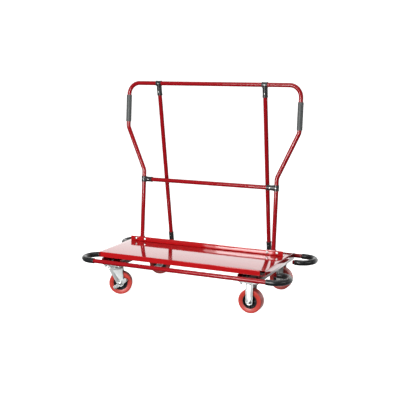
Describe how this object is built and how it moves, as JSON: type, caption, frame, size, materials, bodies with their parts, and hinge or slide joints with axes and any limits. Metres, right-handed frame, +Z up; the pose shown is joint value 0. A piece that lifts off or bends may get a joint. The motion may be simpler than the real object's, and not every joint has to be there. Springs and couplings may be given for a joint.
{
  "type": "panel cart",
  "caption": "Drywall panel cart: low steel deck on casters with a tall bent support hoop, cross bar, rear struts and padded corner bumper loops.",
  "frame": {"origin": "on the floor, under the middle of the cart", "axes": "+X along the deck towards the rigid casters, +Y from the loading side to the rear bumper tube, +Z up"},
  "size_m": [1.315, 0.657, 1.2405],
  "materials": {
    "red_powder_coat": "gloss powder coat",
    "zinc_plate": "bright zinc plate",
    "black_moulding": "moulded, satin",
    "bumper_foam": "closed-cell foam sleeve",
    "grip_foam": "closed-cell foam grip",
    "polyurethane_tread": "cast polyurethane",
    "wheel_core": "moulded core"
  },
  "bodies": {
    "frame": {"axle_bolt_front_right": "zinc_plate", "axle_bolt_rear_right": "zinc_plate", "bumper_foam_front_left": "bumper_foam", "bumper_foam_front_right": "bumper_foam", "bumper_foam_rear_left": "bumper_foam", "bumper_foam_rear_right": "bumper_foam", "bumper_tube_front": "red_powder_coat", "bumper_tube_rear": "red_powder_coat", "cross_bar": "red_powder_coat", "cross_bar_clamp_left": "black_moulding", "cross_bar_clamp_right": "black_moulding", "cross_channel_left": "red_powder_coat", "cross_channel_right": "red_powder_coat", "deck_pan": "red_powder_coat", "deck_rail": "red_powder_coat", "hand_grip_left": "grip_foam", "hand_grip_right": "grip_foam", "hoop_frame": "red_powder_coat", "king_pin_front_left": "zinc_plate", "king_pin_rear_left": "zinc_plate", "post_foot_left": "red_powder_coat", "post_foot_right": "red_powder_coat", "rail_bolt_left_inner": "zinc_plate", "rail_bolt_left_outer": "zinc_plate", "rail_bolt_right_inner": "zinc_plate", "rail_bolt_right_outer": "zinc_plate", "rigid_fork_front_right": "zinc_plate", "rigid_fork_rear_right": "zinc_plate", "strut_foot_clamp_left": "black_moulding", "strut_foot_clamp_right": "black_moulding", "strut_left": "red_powder_coat", "strut_right": "red_powder_coat", "strut_top_clamp_left": "black_moulding", "strut_top_clamp_right": "black_moulding", "swivel_plate_front_left": "zinc_plate", "swivel_plate_rear_left": "zinc_plate"},
    "swivel_front_left": {"swivel_fork_front_left": "zinc_plate", "swivel_race_front_left": "zinc_plate", "axle_bolt_front_left": "zinc_plate"},
    "wheel_front_left": {"tread_front_left": "polyurethane_tread", "hub_front_left": "wheel_core", "axle_bush_front_left": "zinc_plate"},
    "lock_front_left": {"wheel_lock_front_left": "zinc_plate"},
    "wheel_front_right": {"tread_front_right": "polyurethane_tread", "hub_front_right": "wheel_core", "axle_bush_front_right": "zinc_plate"},
    "swivel_rear_left": {"swivel_fork_rear_left": "zinc_plate", "swivel_race_rear_left": "zinc_plate", "axle_bolt_rear_left": "zinc_plate"},
    "wheel_rear_left": {"tread_rear_left": "polyurethane_tread", "hub_rear_left": "wheel_core", "axle_bush_rear_left": "zinc_plate"},
    "lock_rear_left": {"wheel_lock_rear_left": "zinc_plate"},
    "wheel_rear_right": {"tread_rear_right": "polyurethane_tread", "hub_rear_right": "wheel_core", "axle_bush_rear_right": "zinc_plate"}
  },
  "joints": [
    {"name": "swivel_front_left", "type": "hinge", "parent": "frame", "child": "swivel_front_left", "pos_m": [-0.43, -0.25, 0.165], "axis": [0, 0, 1], "continuous": true},
    {"name": "roll_front_left", "type": "hinge", "parent": "swivel_front_left", "child": "wheel_front_left", "pos_m": [-0.40281, -0.23732, 0.0675], "axis": [-0.4226, 0.9063, 0], "continuous": true},
    {"name": "lock_front_left", "type": "hinge", "parent": "swivel_front_left", "child": "lock_front_left", "pos_m": [-0.40281, -0.23732, 0.0675], "axis": [-0.4226, 0.9063, 0], "range_deg": [0, 14]},
    {"name": "roll_front_right", "type": "hinge", "parent": "frame", "child": "wheel_front_right", "pos_m": [0.43, -0.25, 0.0675], "axis": [0, 1, 0], "continuous": true},
    {"name": "swivel_rear_left", "type": "hinge", "parent": "frame", "child": "swivel_rear_left", "pos_m": [-0.43, 0.25, 0.165], "axis": [0, 0, 1], "continuous": true},
    {"name": "roll_rear_left", "type": "hinge", "parent": "swivel_rear_left", "child": "wheel_rear_left", "pos_m": [-0.40281, 0.26268, 0.0675], "axis": [-0.4226, 0.9063, 0], "continuous": true},
    {"name": "lock_rear_left", "type": "hinge", "parent": "swivel_rear_left", "child": "lock_rear_left", "pos_m": [-0.40281, 0.26268, 0.0675], "axis": [-0.4226, 0.9063, 0], "range_deg": [0, 14]},
    {"name": "roll_rear_right", "type": "hinge", "parent": "frame", "child": "wheel_rear_right", "pos_m": [0.43, 0.25, 0.0675], "axis": [0, 1, 0], "continuous": true}
  ]
}
